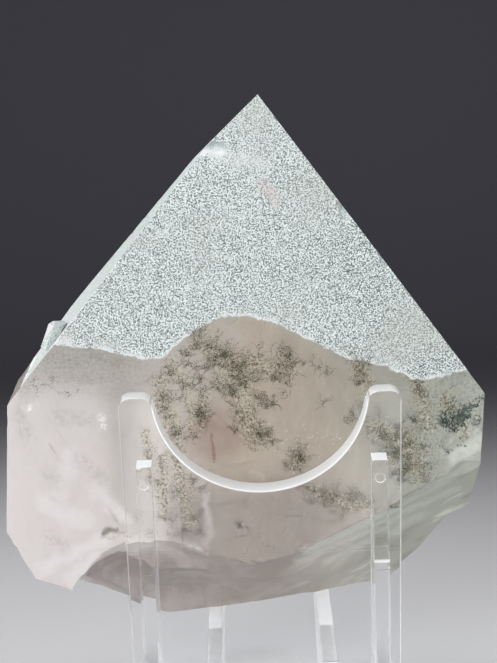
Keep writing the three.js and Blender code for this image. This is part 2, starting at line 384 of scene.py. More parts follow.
# %% Copy the crystal and refine its skin
LONGEST_EDGE = 2.0
SAME_POINT = 0.005
MERGE_ANGLE = math.radians(0.4)
MOST_PASSES = 8
FLAT = math.radians(1)


def refine(form, longest):
    """Halves each edge that is too long, and turns flat neighbours' shared edges for rounder triangles."""
    for _ in range(MOST_PASSES):
        long_edges = [edge for edge in form.edges if edge.calc_length() > longest]
        if not long_edges:
            break
        bmesh.ops.subdivide_edges(form, edges=long_edges, cuts=1)
        wide = [face for face in form.faces if len(face.verts) > 3]
        bmesh.ops.triangulate(form, faces=wide)
        flat = [edge for edge in form.edges if edge.calc_face_angle(1) < FLAT]
        bmesh.ops.beautify_fill(form, faces=form.faces, edges=flat, method="ANGLE")


stone = bmesh.new()
stone.from_mesh(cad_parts["crystal"].data)
bmesh.ops.remove_doubles(stone, verts=stone.verts, dist=SAME_POINT * MM)
bmesh.ops.dissolve_limit(stone, angle_limit=MERGE_ANGLE, verts=stone.verts, edges=stone.edges)
bmesh.ops.triangulate(stone, faces=stone.faces)
refine(stone, LONGEST_EDGE * MM)
print("crystal skin:", len(stone.faces), "triangles")

# %% [markdown]
# Which faces grew and which broke? A grown face points in one of the few directions that the crystal
# allows: the broad face and the two at 150 degrees to it, each as a prism face or sloped towards the
# tip, and the two sides. Every vertex whose faces all point elsewhere belongs to the break.

# %% Find the broken faces
AXIS_TILT = math.radians(2.2)
EASING_PASSES = 3


def grown_direction(azimuth, slope):
    """The outward direction of a face, given round the crystal's axis and up towards the tip."""
    turn = math.radians(azimuth)
    rise = math.radians(slope)
    upright = Vector((math.sin(turn) * math.cos(rise), -math.cos(turn) * math.cos(rise), math.sin(rise)))
    return Matrix.Rotation(LEAN, 3, "X") @ Matrix.Rotation(AXIS_TILT, 3, "Y") @ upright


GROWN = [grown_direction(*turn_and_slope) for turn_and_slope in (
    (0, 0), (99, 37.4), (-92, 37.1), (90, 0), (-90, 2.6), (150, 38.2), (-150, 38.2), (150, 0), (-150, 0))]
SAME_WAY = math.cos(math.radians(1.5))


def has_grown(face):
    return any(face.normal.dot(direction) > SAME_WAY for direction in GROWN)


stone.normal_update()
grown_faces = {face for face in stone.faces if has_grown(face)}
broken = {
    vert: 0.0 if any(face in grown_faces for face in vert.link_faces) else 1.0 for vert in stone.verts}
for _ in range(EASING_PASSES):
    eased = {}
    for vert, share in broken.items():
        around = [broken[edge.other_vert(vert)] for edge in vert.link_edges]
        eased[vert] = share * (share + sum(around)) / (1 + len(around))
    broken = eased
print("broken vertices:", sum(share > 0 for share in broken.values()), "of", len(stone.verts))

# %% [markdown]
# Quartz breaks like thick glass. The ripples run in arcs round the point where the blow fell, and die
# away from it. Each blow below is a place on the plate, with the spacing and depth of its ripples. Rough
# noise at two scales goes on top. Edges between flat faces get small nicks, as on any stone that was
# dug up, and where a flat face meets the break its rim is chipped back.

# %% Carve the break and nick the edges
BLOWS = [
    ((40, 8, 13), 3.4, 0.1), ((-24, 6, 27), 2.8, 0.09), ((4, 4, 35), 3.1, 0.09),
    ((-44, 8, 30), 2.4, 0.06),
]
RIPPLE_REACH = 22
ROUGH_SIZE = 6.5
ROUGH_DEPTH = 0.2
FINE_SIZE = 1.7
FINE_DEPTH = 0.05
LEAST_NICK = 0.05
NICK_DEPTH = 0.34
NICKS_ABOVE = 20
CHIP_DEPTH = 0.3
CHIPS_BELOW = 60
SHARP = math.radians(24)


def ripple(point):
    """How far a broken face stands out at a point, in millimetres."""
    height = 0.0
    for place, spacing, depth in BLOWS:
        distance = (point - on_plate(*place)).length / MM
        height += depth * math.sin(2 * math.pi * distance / spacing) * math.exp(-distance / RIPPLE_REACH)
    height += ROUGH_DEPTH * noise.fractal(point / (ROUGH_SIZE * MM), 0.9, 2.1, 3)
    height += FINE_DEPTH * noise.noise(point / (FINE_SIZE * MM))
    return height


def nick(point):
    """How deep an edge is worn at a point, in millimetres."""
    wear = noise.noise(point / (2.3 * MM)) + 0.6 * noise.noise(point / (0.9 * MM))
    return LEAST_NICK + NICK_DEPTH * max(0, wear - 0.12)


def chip(vert):
    """How a point on the rim of the break has chipped back, in millimetres, along the face that grew."""
    flat = sum((face.normal for face in vert.link_faces if face in grown_faces), Vector())
    outward = sum((face.normal for face in vert.link_faces if face not in grown_faces), Vector())
    if flat.length * outward.length == 0:
        return Vector()
    flat.normalize()
    outward -= flat * outward.dot(flat)
    wear = 0.5 + noise.noise(vert.co / (1.6 * MM)) + 0.5 * noise.noise(vert.co / (0.8 * MM))
    return outward.normalized() * -CHIP_DEPTH * min(1, max(0, wear))


grown_edges = [edge for edge in stone.edges if all(face in grown_faces for face in edge.link_faces)]
on_edge = {vert for edge in grown_edges if edge.calc_face_angle(0) > SHARP for vert in edge.verts}
moves = {}
for vert, share in broken.items():
    if share > 0:
        moves[vert] = vert.normal * (share * ripple(vert.co) * MM)
    elif vert in on_edge and vert.co.z > NICKS_ABOVE * MM:
        moves[vert] = -vert.normal * (nick(vert.co) * MM)
    elif vert.co.z < CHIPS_BELOW * MM:
        moves[vert] = chip(vert) * MM
for vert, move in moves.items():
    vert.co += move
print("carved", len(moves), "vertices")

# %% [markdown]
# ## The crystal's finish
# Three things share this surface. Clear quartz lets you look in. Milky quartz scatters light: it is
# laid as a haze of matt and translucent shaders, thick on the left and thin in the middle, so the
# inside still shows through it. And above a ragged line a coat of pale green chlorite grains hides
# both. The line's height across the face is a curve with a few knots, so it stays sharp at any size.
# Veils, stains and moss are strokes, given by two ends and a half width, with edges torn by noise.

# %% Mix quartz, haze and chlorite
COAT_EDGE = [
    (-47, -9.5), (-35.7, -8.4), (-27.9, -7.2), (-17.4, -5.4), (-14.6, -7.7), (-10.1, -10.7), (-4.8, -12.6),
    (0.8, -11.9), (7.4, -8.8), (12.7, -5.9), (15.3, -4.3), (18.9, -3.4), (25.1, -1.3), (27.7, 0.3),
    (32.2, 0.1), (36.6, -1.1), (47, -2),
]
CURVE_ACROSS = 50
CURVE_DOWN = 20
BODY_ACROSS = 90
QUARTZ_IOR = 1.544
BODY_GLOW = 0.88
BODY_GLOWS = [(0, 0, 0), (0.92, 0.87, 0.865), (1, 0.86, 0.72), (0.845, 0.9, 0.805)]
COAT_GLOWS = [(0, 0, 0), (0.915, 1, 0.99)]
SMALL_CRYSTAL = (-36.6, 8, 9.3)
LEFT_SLOPE = (-0.797, 0.603)
LEFT_SLOPE_REACH = 35.2
# A painted highlight in the dent on the left edge near the tip
DENT_HIGHLIGHT = [((-8.6, -42), (-5.2, -41.6), 1.3)]
WORN_TIP = [((-5, -41.6), (1, -39.8), 2.4)]
FLUSH = [((2, -36), (3.6, -33.4), 2.4)]
RUST = (-7.8, 4, -9.8)
RUST_STREAK = [((-8.9, 9.6), (-8.6, 12.2), 0.45), ((-8.6, 12.2), (-8.5, 14.8), 0.6)]
OLIVE_STROKES = [
    ((-8, -6.5), (-4, -2), 3.8), ((-4, -2), (-1.5, 11), 3.4), ((-2, -4), (5, -2.5), 2.6),
    ((-10, 2), (-10, 8.5), 1.4), ((-17.5, -1), (-15, 12), 2.4), ((-15, 12), (-13.5, 26), 2.6),
    ((-20.5, 8), (-20, 18), 1.5), ((5.8, 17), (7.3, 14.3), 1.8), ((8.7, 20.7), (17.5, 24), 2.2),
    ((20.5, 8.8), (24.5, 11.5), 2.6), ((26, 12), (27.3, 17.5), 4), ((17, -4.6), (18.8, 1), 2.4),
    ((27.5, -1), (30, 9), 2.6), ((33.5, 5), (37, 11), 3), ((-12.5, -7), (-8, -9.8), 2.2),
    ((-16.5, -4.5), (-12.5, 0), 2), ((-12.5, 0), (-12, 8), 1.7), ((-17.5, 14), (-18, 24), 2.2),
]
CREAM_PATCHES = [
    ((-2.6, 3.2), (-0.6, 6.8), 1.7), ((0.4, 8.4), (1.8, 11.6), 1.5), ((-4.4, -1.4), (-3, 1.2), 1.1),
    ((-11, -8.2), (-7.5, -9.4), 1.5), ((26, 14), (28, 17), 1.6), ((-15.6, 4), (-14.6, 9), 1.2),
    ((-1.6, 17.4), (0.4, 18.6), 1), ((30, 1), (36, 3), 1.6),
    ((-15.5, -4.4), (-12.5, -1), 1.8), ((-12, 1), (-11.6, 6), 1.3), ((-8, -5), (-6.4, -1), 1.2),
]
# Pale veils in the milky body; the strokes at the lower left are partly painted sheen
VEIL_AND_SHEEN_STROKES = [
    ((-10.5, 20.5), (-9.8, 26.5), 1.1), ((-9.8, 26.5), (-10.7, 31), 1.3), ((-14, 30.8), (-12.2, 31.9), 1.5),
    ((-41.6, 35.6), (-29.6, 29.8), 2.2), ((-36, 37.5), (-31, 33.5), 2),
    ((-34.5, 12.7), (-36.8, 19.9), 2.6), ((-30, 20), (-26, 25), 2.4),
    ((-40, 22), (-33, 26), 2.6),
]
BAND_STROKES = [
    ((8.5, 33.2), (25.1, 25.8), 2.2), ((25.1, 25.8), (39.6, 17.2), 2.2),
    ((6.6, 36.8), (24.2, 29.2), 1.8), ((24.2, 29.2), (36, 24.6), 1.8), ((12, 39.5), (30, 31), 2),
]
SMUDGE_STROKES = [
    ((-38.5, 16.5), (-36.5, 18.5), 2.8), ((-39, 29), (-37, 31), 3), ((3.3, -7.4), (5.6, -7.4), 2.2),
    ((-33, 13), (-29, 18), 2.2), ((-36, 5), (-31, 6), 2.4), ((-43, 4), (-42, 9), 2.4),
]
# A pit drawn only in colour: dark olive with painted shade in it, and a painted shadow as its tail
DIMPLE_AND_SHADOW = [((-29.4, 28.9), (-28.4, 28.3), 0.85), ((-28.2, 28.2), (-26.6, 27.9), 0.6)]
# Painted highlight: a soft pale reflection just under the foot's lip
LIP_HIGHLIGHT = [((-14.4, 31.2), (-12.4, 31.6), 1.3), ((-26.5, 33.4), (-19, 31.4), 1.1)]
# Painted glints: a small cluster of bright white specks
PAINTED_GLINTS = [((-28.4, 5.6), (-28.2, 7.4), 1.3)]
PALE_CHIP = [((-4.8, -9.8), (-3.2, -8.8), 1.9)]
# Painted shade on the stone where the stand's ribs stand in front of it
RIB_SHADES = [((-24.5, 2), (-23.5, 25), 6), ((21.5, 6), (22, 26), 5)]
CRUST = [((33, 14.5), (38.5, 16), 2.2), ((37, 10), (41, 14), 1.6)]


def crystal_finish():
    finish = Finish("milky_quartz_with_chlorite")
    place = finish.plate_place()
    across, front, up = finish.node("SeparateXYZ", {}, {0: place}, output=(0, 1, 2))
    down = 0 - up
    torn = finish.pushed(place, 2.6, 1.5)
    ruffled = finish.pushed(place, 1, 0.8)
    fray = finish.grain(place, 0.9, 4, 0.68)
    shallow = front.rise(28, 9)

    def on_front(where, drawn):
        """Strokes that show on the front of the stone and not on its back."""
        return finish.strokes(where, drawn) * shallow

    # Where the chlorite coat ends
    knots = [(0.5 + a / (2 * CURVE_ACROSS), 0.5 + d / (2 * CURVE_DOWN)) for a, d in COAT_EDGE]
    edge = finish.node("FloatCurve", {"curve": knots}, {"Value": across / (2 * CURVE_ACROSS) + 0.5})
    edge = (edge - 0.5) * (2 * CURVE_DOWN)
    side_from = across.rise(0, 20) * 6 + (FACE_FRONT + 0.2)
    side_drop = front.rise(side_from, side_from + 1.4) * 9
    ragged = (finish.grain(place, 3) - 0.5) * 1.4 + (finish.grain(place, 0.7) - 0.5) * 0.9
    past_edge = down - edge - side_drop + ragged
    coat = past_edge.rise(0.2, -0.15)

    # The small crystal on the left edge stands outside the main one's sloping side
    outside = across * LEFT_SLOPE[0] + up * LEFT_SLOPE[1]
    outside = outside.rise(LEFT_SLOPE_REACH, LEFT_SLOPE_REACH + 0.2)
    crystallite = finish.vector("DISTANCE", place, SMALL_CRYSTAL, 1).rise(3, 2.6) * outside

    # Chlorite: dark grains on pale green, smooth on the sloping side
    speck = finish.grain(place, 0.25, 1.5, 0.6)
    patchy = finish.grain(place, 5, 3)
    smooth_side = front.rise(FACE_FRONT + 0.02, FACE_FRONT + 0.3)
    near_tip = up.rise(40, 52) * 0.35
    depth_of_speck = (0.8 + patchy * 0.5) * (1 - smooth_side * 0.75) * (1 - near_tip)
    # Painted shade: the coat is made lighter towards the tip and darker to the right and on the sloping
    # side
    shade = across.rise(0, 34) * 0.07 - up.rise(22, 46) * 0.05 + smooth_side * 0.10
    mottle = (finish.grain(place, 1.5, 3, 0.6) - 0.5) * 0.3
    speck_light = (speck - 0.5) * depth_of_speck * 4.8 + mottle + 0.58 - shade
    green = finish.node("ValToRGB", {"stops": [
        (0, (0.125, 0.15, 0.135)), (0.3, (0.33, 0.39, 0.37)), (0.55, (0.62, 0.69, 0.68)),
        (1, (0.9, 0.96, 0.96))]}, {0: speck_light})
    # Painted highlight: a pale line along the coat's edge, as on the rim of a thin raised layer
    highlight_rim_width = across.rise(-20, -34) * 1.2 + 1.1
    painted_rim_highlight = ((past_edge + highlight_rim_width) / highlight_rim_width).rise(0, 1) * finish.grain(place, 2.4).rise(0.38, 0.56)
    # A worn pale patch near the tip, joined with the painted highlight in the dent
    worn_and_highlight = finish.strokes(torn, WORN_TIP) * (0.15 + fray * 0.5)
    worn_and_highlight = worn_and_highlight.most(finish.strokes(ruffled, DENT_HIGHLIGHT) * 0.9) * front.rise(FACE_FRONT + 1.5, FACE_FRONT + 1)
    green = finish.overlaid(green, [
        (finish.grain(place, 14, 2).rise(0.42, 0.7) * 0.35, (0.58, 0.59, 0.54)),
        # painted highlights on the coat's rim and in the dent, with the worn patch, in one pale colour
        ((painted_rim_highlight * 0.85).most(worn_and_highlight), (0.88, 0.9, 0.91)),
        (finish.strokes(torn, FLUSH) * 0.55, (0.68, 0.58, 0.55)),
    ])

    # Milky body: pale at the left, warm grey in the window, greenish at the right
    cloud = finish.grain(place, 9, 3, 0.55)
    wisp = finish.grain(place, 3.2, 4, 0.6, stretch=(1, 1, 0.45))
    fleck = finish.grain(place, 0.48, 3, 0.7)
    body_place = across / BODY_ACROSS + 0.5
    body = finish.node("ValToRGB", {"stops": [
        (0, (0.8, 0.76, 0.755)), (0.16, (0.78, 0.735, 0.725)), (0.33, (0.68, 0.625, 0.58)),
        (0.48, (0.67, 0.58, 0.48)), (0.62, (0.6, 0.53, 0.445)), (0.8, (0.5, 0.5, 0.43)),
        (1, (0.6, 0.64, 0.575))]}, {0: body_place + (cloud - 0.5) * 0.12})
    milk = finish.node("ValToRGB", {"stops": [(at, (grey,) * 3) for at, grey in (
        (0, 0.97), (0.27, 0.92), (0.38, 0.7), (0.52, 0.66), (0.75, 0.66), (1, 0.82))]},
        {0: body_place + (cloud - 0.5) * 0.15})

    # Mottled band under the coat at the left, and the darker sunken part at the foot
    under_coat = past_edge.rise(12, 2.5) * across.rise(-15, -26)
    level_wisp = finish.grain(place, 1.5, 4, 0.65, stretch=(0.3, 1, 1))
    net = across.rise(24, 30) * down.rise(19, 13)
    sunk = front.rise(FACE_FRONT + 0.1, FACE_FRONT + 0.6) * down.rise(9, 15)
    middle = across.rise(-20, -14.8) * 0.6 + across.rise(-15.3, -14.8) * 0.4
    middle = middle * across.rise(22, 6) * down.rise(13, 24) * shallow
    foot = sunk * across.rise(-36, -33) * across.rise(34, 12) * front.rise(26, 16)
    middle = middle.most(foot * down.rise(31, 37))
    slanted = finish.node("CombineXYZ", {}, {0: across, 1: front, 2: up - across * 0.5})
    sweeping = finish.grain(slanted, 4.6, 3, 0.5, stretch=(0.32, 0.5, 1))
    swept = sunk * front.rise(34, 22)
    shelf = swept * across.rise(2, 16)
    body = finish.overlaid(body, [
        ((wisp - 0.45) * 0.8 * cloud, (0.84, 0.82, 0.8)),
        (under_coat * (0.3 + cloud * 0.5), (0.39, 0.36, 0.3)),
        ((fleck - 0.46) * under_coat * 2.4, (0.26, 0.25, 0.2)),
        (under_coat * level_wisp.rise(0.52, 0.64) * 0.35, (0.3, 0.31, 0.25)),
        ((fleck - 0.46) * net * 2.2, (0.25, 0.27, 0.22)),
        ((0.5 - fleck) * net * 2.2, (0.8, 0.83, 0.78)),
        (middle * (0.72 + cloud * 0.4), (0.285, 0.235, 0.22)),
        (foot * down.rise(32, 38) * across.rise(-27, -14) * 0.9, (0.2, 0.165, 0.152)),
        # painted shade behind the ribs
        (on_front(place, RIB_SHADES) * (0.3 + cloud * 0.45), (0.4, 0.375, 0.345)),
        (sunk * wisp.rise(0.44, 0.62) * across.rise(4, -6) * 0.25, (0.8, 0.75, 0.74)),
        (swept * sweeping.rise(0.5, 0.72) * 0.65, (0.54, 0.48, 0.46)),
        (shelf * 0.8, (0.54, 0.555, 0.49)),
        (shelf * sweeping.rise(0.52, 0.64), (0.86, 0.88, 0.8)),
        (shelf * sweeping.rise(0.46, 0.34) * 0.7, (0.34, 0.35, 0.27)),
    ])

    # Stains, veils and bands, with painted sheen, highlights, glints and shadow among them
    rust = finish.vector("DISTANCE", place, RUST, 1).rise(8, 2) * (0.5 + finish.grain(place, 2.2, 3))
    streak = finish.strokes(place, RUST_STREAK) * finish.grain(place, 0.8).rise(0.3, 0.5)
    veils_and_sheen = on_front(torn, VEIL_AND_SHEEN_STROKES) * (0.15 + fray) * (1 - across.rise(-18, -15) * 0.5)
    painted_glints = on_front(place, PAINTED_GLINTS) * finish.grain(place, 0.36, 2).rise(0.42, 0.56)
    body = finish.overlaid(body, [
        (rust * 0.62, (0.36, 0.215, 0.185)),
        (streak * 0.85, (0.28, 0.075, 0.055)),
        # veils, partly painted sheen at the lower left
        (veils_and_sheen, (0.88, 0.86, 0.86)),
        # painted highlight under the lip
        (on_front(ruffled, LIP_HIGHLIGHT) * fray.rise(0.2, 0.6) * 0.8, (0.8, 0.77, 0.77)),
        (finish.strokes(torn, BAND_STROKES) * (0.4 + wisp * 0.9), (0.66, 0.7, 0.645)),
        (on_front(torn, SMUDGE_STROKES) * fray.rise(0.3, 0.8) * 0.5, (0.4, 0.41, 0.36)),
        # painted glints
        (painted_glints, (0.96, 0.96, 0.96)),
        (on_front(ruffled, PALE_CHIP) * (0.3 + fleck * 0.6), (0.68, 0.65, 0.61)),
        (on_front(torn, CRUST) * fray.rise(0.35, 0.62) * 0.85, (0.74, 0.77, 0.72)),
        # the pit's painted shade and shadow tail
        (on_front(ruffled, DIMPLE_AND_SHADOW) * 0.75, (0.22, 0.215, 0.15)),
    ])

    # Moss: olive flecks and cream grains in the body itself, below the loose threads
    olive = on_front(torn, OLIVE_STROKES) * (0.4 + fray)
    body = finish.overlaid(body, [
        ((fleck - 0.5) * 0.5 * across.rise(-20, -8), (0.3, 0.27, 0.21)),
        (olive * 0.5, (0.36, 0.315, 0.2)),
        (olive * fleck.rise(0.52, 0.6) * 0.9, (0.13, 0.11, 0.05)),
        (olive * fleck.rise(0.45, 0.36) * 0.9, (0.76, 0.73, 0.64)),
        (on_front(torn, CREAM_PATCHES) * fray.rise(0.3, 0.6) * 0.9, (0.66, 0.615, 0.5)),
        (crystallite, (0.92, 0.92, 0.93)),
    ])
    milk = milk + (wisp - 0.5) * 0.25 - middle * 0.12 + shelf * 0.2
    milk = milk + olive * 0.35 + veils_and_sheen * 0.2 + crystallite
    coat = coat * (1 - crystallite)

    # Relief: low swells, fine growth lines, and the coat's own grains
    swell = finish.relief(finish.grain(place, 7, 2), 0.05)
    lines = finish.relief(finish.grain(place, 1.1, 3, stretch=(0.12, 0.12, 1)), 0.012, under=swell)
    grains = finish.relief(speck, 0.05, under=swell)
    gloss = 0.18 + sunk * 0.24

    clear = finish.node("BsdfPrincipled", {}, {
        "Base Color": (0.96, 0.945, 0.92), "Roughness": gloss - 0.13, "IOR": QUARTZ_IOR,
        "Transmission Weight": 1, "Normal": lines})
    matt_milk = finish.node("BsdfPrincipled", {}, {
        "Base Color": body, "Roughness": gloss, "IOR": QUARTZ_IOR, "Normal": lines})
    chlorite = finish.node("BsdfPrincipled", {}, {
        "Base Color": green, "Roughness": 0.42, "IOR": QUARTZ_IOR, "Normal": grains})

    # Light that comes through: a few glows of one colour each, as strong as the body or coat is pale
    unlit, pink_glow, brown_glow, green_glow = [
        finish.node("BsdfTranslucent", {}, {"Color": colour, "Normal": lines}) for colour in BODY_GLOWS]
    right_glow = finish.layer(across.rise(8, 30), brown_glow, green_glow)
    glow = finish.layer(across.rise(-30, -2), pink_glow, right_glow)
    glow = finish.layer(finish.node("RGBToBW", {}, {0: body}) / BODY_GLOW, unlit, glow)
    unlit_coat, coat_glow = [
        finish.node("BsdfTranslucent", {}, {"Color": colour, "Normal": grains}) for colour in COAT_GLOWS]
    coat_glow = finish.layer(finish.node("RGBToBW", {}, {0: green}), unlit_coat, coat_glow)

    haze = finish.layer(0.4, matt_milk, glow)
    skin = finish.layer(0.22, chlorite, coat_glow)
    surface = finish.layer(coat, finish.layer(milk, clear, haze), skin)
    tint = finish.node("VolumeAbsorption", {}, {"Color": (0.93, 0.9, 0.86), "Density": 14.0})
    return finish.done(surface, tint)


# %% Make the crystal
def mark_sharp(form, angle, flat_area=1):
    """Keeps edges crisp where the form turns sharply and faces over flat_area flat. The rest is smooth."""
    for face in form.faces:
        face.smooth = face.calc_area() < flat_area
    for edge in form.edges:
        edge.smooth = edge.calc_face_angle(0) < angle


def make_piece(name, form, material, node=None):
    """Turns a form into a piece that rides on the one body of the model."""
    mesh = bpy.data.meshes.new(name)
    form.to_mesh(mesh)
    mesh.materials.append(material)
    made = placed(name, mesh)
    if node:
        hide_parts(node)
    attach(made, "root")
    print("piece", name, "with", len(mesh.polygons), "faces")


stone.normal_update()
mark_sharp(stone, SHARP)
skin_tree = BVHTree.FromBMesh(stone)
make_piece("quartz_crystal", stone, crystal_finish(), node="crystal")

# %% [markdown]
# ## Inclusions
# Tufts of dark chlorite hang in the clear window like moss. Each is hundreds of tiny threads, so they
# are scattered by rule into one mesh: along a stroke drawn on the face, with a spread, at a depth below
# the skin that a ray finds. A thread is a few flat splinters end to end, and most threads start where
# the one before did, so they gather. A fixed seed keeps the scatter the same each time. Paler grains
# lie among them, and a few loose fibres at the right.

# %% Scatter threads along strokes
MOSS = [
    ((-7.6, -6.5), (-4.7, -4.2), 1.3, 60), ((-4.7, -4.2), (-3.4, -1.1), 1.5, 130),
    ((-3.4, -1.1), (-6.1, 1.4), 1.5, 130), ((-1.5, -4.8), (0.5, 0.3), 2.2, 90),
    ((-9.5, -4), (-8, 0.5), 1.9, 80), ((1.5, -3.5), (6.5, -2.5), 1.3, 50),
    ((5, -1.5), (7, -3.5), 0.8, 26), ((-10.1, 2.5), (-10, 8.5), 0.6, 60),
    ((-3.1, 5), (-0.5, 12.1), 1.3, 110), ((-2.7, 4.5), (1.6, 4), 1.1, 40),
    ((0, 9), (2.2, 12.9), 0.8, 45), ((-18, -0.9), (-15.3, 6.5), 1.5, 38),
    ((-15.3, 6.5), (-14.6, 12.4), 1.6, 46), ((-18, 3), (-17, 6), 0.8, 20),
    ((5.8, 17), (7.5, 14.1), 0.8, 90), ((8.7, 20.7), (14.5, 24.9), 1.2, 90),
    ((14.5, 22.5), (18.2, 23.4), 1.3, 70), ((20, 8.5), (24.7, 11.7), 1.4, 170),
    ((26, 12), (27.5, 17.8), 2, 230), ((23, 14), (27, 20.5), 1.5, 80),
    ((28.1, -0.1), (28.8, 4.2), 0.5, 30), ((17.4, -4.4), (18.6, 0.4), 0.9, 70),
    ((17.6, 3.8), (16.6, 8.4), 0.4, 20), ((11.1, 4), (10.6, 6), 0.25, 6),
    ((23.6, 24.6), (24, 24.5), 0.12, 5), ((-41, -0.5), (-31.9, 0.6), 0.5, 14),
    ((8, -3), (12, -1.5), 0.7, 12), ((-4.2, 27.4), (-3.6, 28.1), 0.2, 5),
    ((-22, 26), (-20, 30), 0.9, 14), ((-17, 24), (-15, 29), 1.2, 14),
    ((-12.5, -7), (-8.5, -9.6), 1.4, 70), ((-11.5, -5), (-9.5, 0), 1.8, 60),
    ((3, -6), (6, -5), 1, 24), ((-16, -4.5), (-13, 1), 1.6, 36),
    ((-12.5, 1), (-11.5, 8), 1.4, 22), ((-20.7, 9), (-19.5, 17), 1.2, 26),
    ((-14.6, 12.4), (-13.5, 26), 1.8, 60), ((-19, 17), (-18, 26), 1.6, 40),
]
CREAM_STROKES = 19
CORNER_MOSS = [
    ((33.1, 3.4), (38.7, 6.5), 1.2, 20), ((33.9, 9.7), (37.7, 8.6), 1.2, 130),
    ((32.9, 7), (33.9, 10.5), 0.8, 90), ((36, 6), (40, 9.5), 1.2, 60),
    ((32.3, 13), (38, 13), 0.8, 34),
]
FIBRES = [((7.1, 10.2), (15.2, 11.4), 1.4, 34), ((3, 8), (12, 14), 2, 20)]
CRACKS = [
    ((-8.2, -40.9), (-6.4, -43.3), 5), ((4.9, -38.2), (7.6, -36.4), 6), ((16, -20.5), (19.1, -19.3), 6),
    ((24, -13), (26.5, -10.5), 5), ((-23.5, -18), (-21.5, -11), 6), ((0.4, -9), (1.6, -11.6), 4),
    ((-17.8, 41.2), (-16.4, 42.4), 3),
]
SURFACE_SHARE = 0.85
AT_SKIN = 0.01
UNDER_SKIN = (0.2, 3)
TUFT_SPREAD = 0.3
LINK_STEP = 0.8
LINK_TURN = 0.55
HEADING_SPREAD = 14
SPLINTER_THICKNESS = 0.03
CRACK_WANDER = 0.07
CRACK_TURN = 0.15
CRACK_OVERLAP = 1.15
CRACK_WIDTH = (0.08, 0.18)
RAY_START = -40
ACROSS_WAY = on_plate(1, 0, 0) - on_plate(0, 0, 0)
UP_WAY = on_plate(0, 0, -1) - on_plate(0, 0, 0)


def on_skin(across, down, depth):
    """The place that deep under the crystal's skin, or None beside the stone."""
    hit = skin_tree.ray_cast(on_plate(across, RAY_START, down), INTO_CRYSTAL)[0]
    return hit and hit + INTO_CRYSTAL * depth * MM


def add_splinter(form, middle, heading, length, width):
    """A flat four-sided splinter that lies in the face, turned to a heading on it."""
    along = ACROSS_WAY * math.cos(heading) + UP_WAY * math.sin(heading)
    aside = UP_WAY * math.cos(heading) - ACROSS_WAY * math.sin(heading)
    lift = INTO_CRYSTAL * SPLINTER_THICKNESS * MM
    corners = [form.verts.new(place) for place in (
        middle - along * length / 2, middle + along * length / 2,
        middle + aside * width / 2 + lift, middle - aside * width / 2 - lift)]
    for trio in ((0, 1, 2), (0, 3, 1), (1, 3, 2), (2, 3, 0)):
        form.faces.new([corners[one] for one in trio])


def scatter(strokes, share, length, width, links, seed, new_root=1, heading=None):
    """Threads along strokes on the broad face, most at the skin. Some start from the root before."""
    chance = random.Random(seed)
    form = bmesh.new()
    for start, end, spread, count in strokes:
        root = None
        for _ in range(max(1, round(count * share))):
            if root is None or chance.random() < new_root:
                along = chance.random()
                root = [
                    one + (other - one) * along + chance.gauss(0, spread) for one, other in zip(start, end)]
            across, down = (one + chance.gauss(0, TUFT_SPREAD) for one in root)
            depth = AT_SKIN if chance.random() < SURFACE_SHARE else chance.uniform(*UNDER_SKIN)
            if heading is None:
                turn = chance.uniform(0, math.pi)
            else:
                turn = math.radians(chance.gauss(heading, HEADING_SPREAD))
            for _ in range(chance.randint(*links)):
                middle = on_skin(across, down, depth)
                step = chance.uniform(*length)
                if middle:
                    add_splinter(form, middle, turn, step, chance.uniform(*width))
                across += step * LINK_STEP * math.cos(turn)
                down -= step * LINK_STEP * math.sin(turn)
                turn += chance.gauss(0, LINK_TURN)
    bmesh.ops.recalc_face_normals(form, faces=form.faces)
    return form


def crack_form(cracks, seed):
    """Fine dark cracks: splinters in a row from one end to the other, each a little off the line."""
    chance = random.Random(seed)
    form = bmesh.new()
    for start, end, count in cracks:
        step = (Vector(end) - Vector(start)) / count
        heading = math.atan2(-step.y, step.x)
        for index in range(count):
            across = start[0] + step.x * (index + 0.5) + chance.gauss(0, CRACK_WANDER)
            down = start[1] + step.y * (index + 0.5) + chance.gauss(0, CRACK_WANDER)
            middle = on_skin(across, down, AT_SKIN)
            if middle:
                turn = heading + chance.gauss(0, CRACK_TURN)
                add_splinter(form, middle, turn, step.length * CRACK_OVERLAP, chance.uniform(*CRACK_WIDTH))
    bmesh.ops.recalc_face_normals(form, faces=form.faces)
    return form


def grain_finish(name, dark, light, size, roughness=0.6):
    """A small mineral grain: its colour wanders between two."""
    finish = Finish(name)
    place = finish.plate_place()
    shade = finish.blend(finish.grain(place, size, 3).rise(0.3, 0.7), dark, light)
    return finish.done(finish.node("BsdfPrincipled", {}, {"Base Color": shade, "Roughness": roughness}))


olive_moss = grain_finish("olive_moss", (0.028, 0.026, 0.007), (0.13, 0.118, 0.045), 0.8)
cream_grain = grain_finish("cream_grain", (0.56, 0.52, 0.41), (0.84, 0.8, 0.69), 0.8)
deep_green_moss = grain_finish("deep_green_moss", (0.05, 0.08, 0.065), (0.24, 0.3, 0.25), 1)
pale_fibre = grain_finish("pale_fibre", (0.8, 0.76, 0.68), (0.95, 0.93, 0.88), 1, 0.3)
crack_shadow = grain_finish("crack_shadow", (0.16, 0.18, 0.17), (0.3, 0.33, 0.31), 1)

